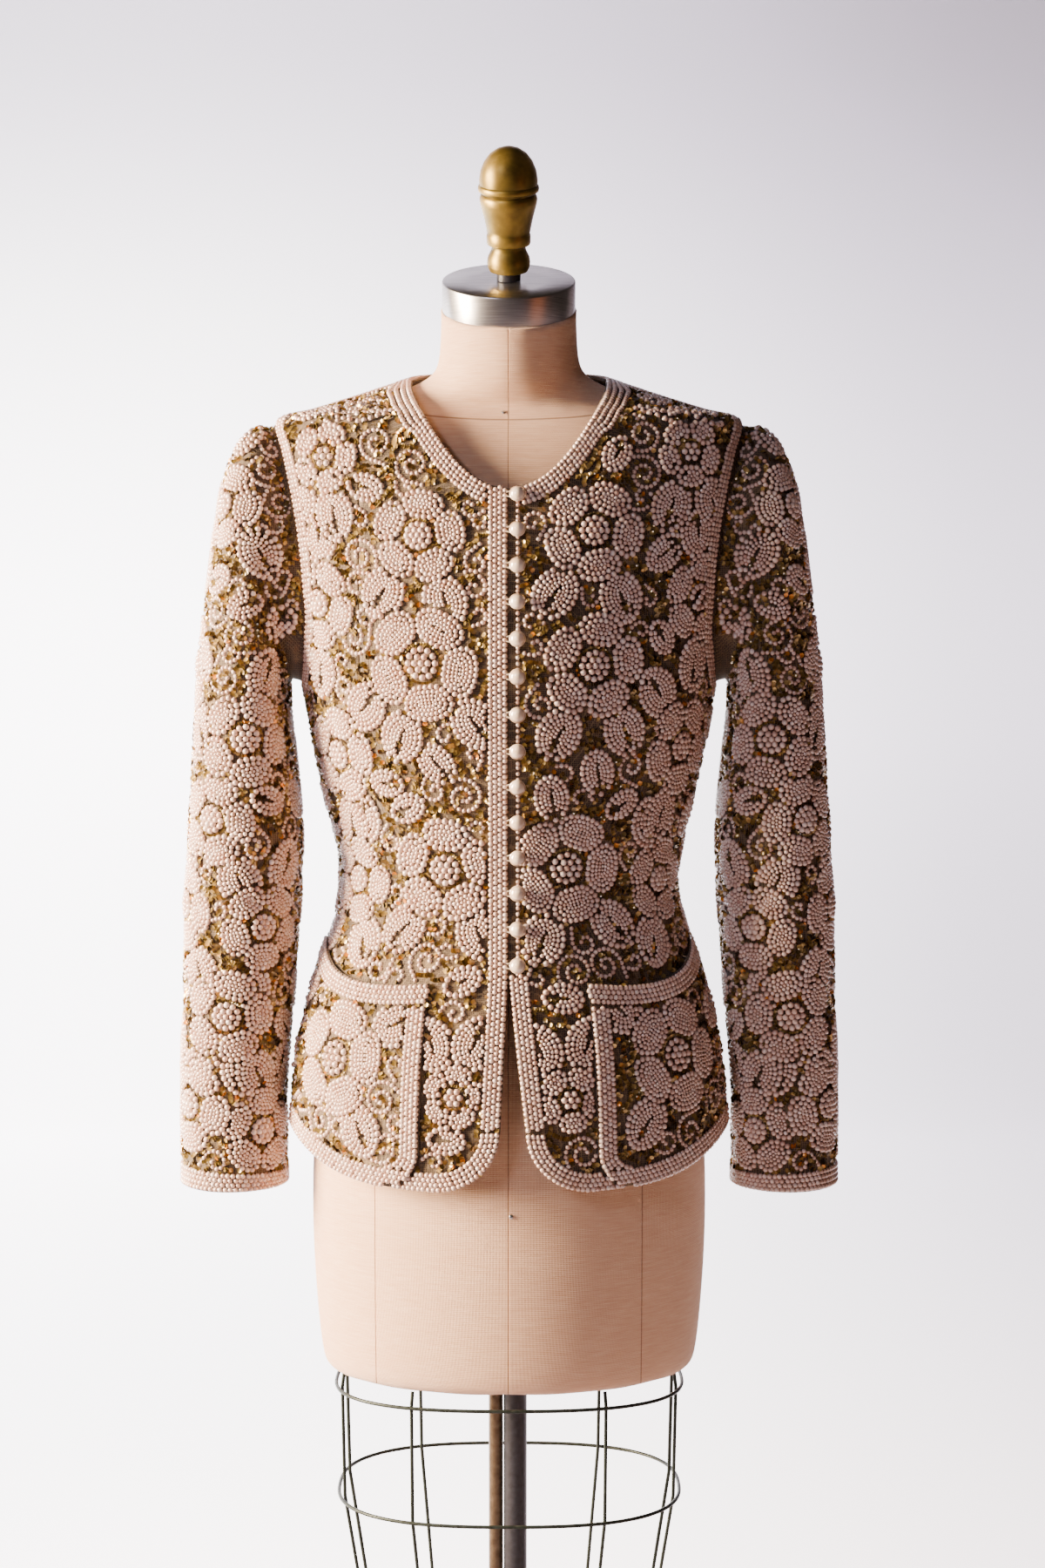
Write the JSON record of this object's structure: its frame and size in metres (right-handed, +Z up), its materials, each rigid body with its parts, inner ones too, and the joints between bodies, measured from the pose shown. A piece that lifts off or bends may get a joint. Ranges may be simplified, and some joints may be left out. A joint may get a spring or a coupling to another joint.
{
  "type": "beaded sequin jacket on dress form",
  "caption": "Hip-length, collarless jacket covered with pearl flowers and gold sequins, buttoned in front, on a limbless linen dress form with cage, pole and round base.",
  "frame": {"origin": "on the floor under the middle of the base", "axes": "+Z up, the jacket's front faces -Y, the wearer's left is at +X"},
  "size_m": [0.5454, 0.4, 1.5618],
  "materials": {
    "beaded_cloth": "ivory cloth covered with small pearls and antique gold sequins",
    "pearl": "lustrous ivory imitation pearl",
    "linen": "natural linen, matte, fine plain weave",
    "steel": "turned and brushed steel",
    "gold": "antique gold paint, worn, satin",
    "charcoal_paint": "charcoal satin paint",
    "bronze_tube": "bronze lacquer, satin",
    "dark_wire": "dark green-black drawn wire",
    "cast_iron": "black painted cast iron"
  },
  "bodies": {
    "root": {"front_right": "beaded_cloth", "side_front_right": "beaded_cloth", "back_right": "beaded_cloth", "side_back_right": "beaded_cloth", "sleeve_right": "beaded_cloth", "pocket_right": "beaded_cloth", "front_left": "beaded_cloth", "side_front_left": "beaded_cloth", "back_left": "beaded_cloth", "side_back_left": "beaded_cloth", "sleeve_left": "beaded_cloth", "pocket_left": "beaded_cloth", "button_01": "pearl", "button_02": "pearl", "button_03": "pearl", "button_04": "pearl", "button_05": "pearl", "button_06": "pearl", "button_07": "pearl", "button_08": "pearl", "button_09": "pearl", "button_10": "pearl", "button_11": "pearl", "button_12": "pearl", "button_13": "pearl", "button_14": "pearl", "form_torso": "linen", "neck_cap": "steel", "finial_stem": "charcoal_paint", "finial": "gold", "cage_hoop_1": "dark_wire", "cage_hoop_2": "dark_wire", "cage_hoop_3": "dark_wire", "cage_wire_1": "dark_wire", "cage_wire_2": "dark_wire", "cage_wire_3": "dark_wire", "cage_wire_4": "dark_wire", "cage_wire_5": "dark_wire", "cage_wire_6": "dark_wire", "cage_wire_7": "dark_wire", "cage_wire_8": "dark_wire", "base": "cast_iron", "pole": "charcoal_paint", "inner_tube": "bronze_tube"}
  },
  "joints": []
}
